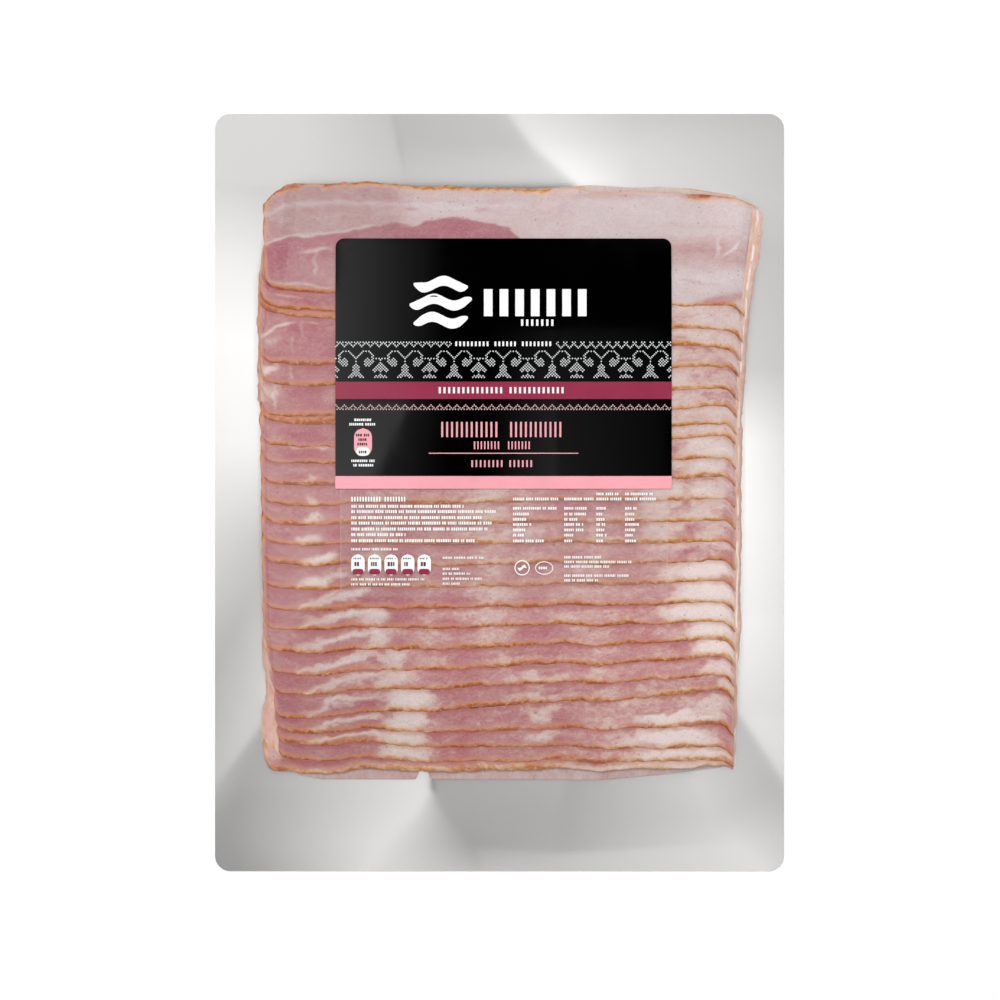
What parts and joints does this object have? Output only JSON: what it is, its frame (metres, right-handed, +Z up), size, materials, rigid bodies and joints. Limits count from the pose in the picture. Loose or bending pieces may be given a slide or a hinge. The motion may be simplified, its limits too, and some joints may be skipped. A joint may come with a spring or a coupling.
{
  "type": "bacon pack",
  "caption": "Flat vacuum pack of shingled smoked bacon slices under clear film on a silver backing, with a dark label and a clear print panel.",
  "frame": {"origin": "on the surface it lies on, under the middle of the pack's outline", "axes": "+Z up out of the shown side, +Y along the pack's length towards the slice that lies uppermost, +X to the right along the slices"},
  "size_m": [0.281, 0.374, 0.0176],
  "materials": {
    "backing": "silver-grey laminate film, satin",
    "bacon": "moist cured pork, pink lean with cream fat and a brown smoked edge",
    "film": "clear gloss film drawn tight over the slices",
    "label": "black printed sticker, satin gloss",
    "print": "printed ink",
    "panel": "clear sticker printed in white"
  },
  "bodies": {
    "root": {"backing_film": "backing", "sealed_bacon": "bacon", "label": "label", "info_panel": "panel"}
  },
  "joints": []
}
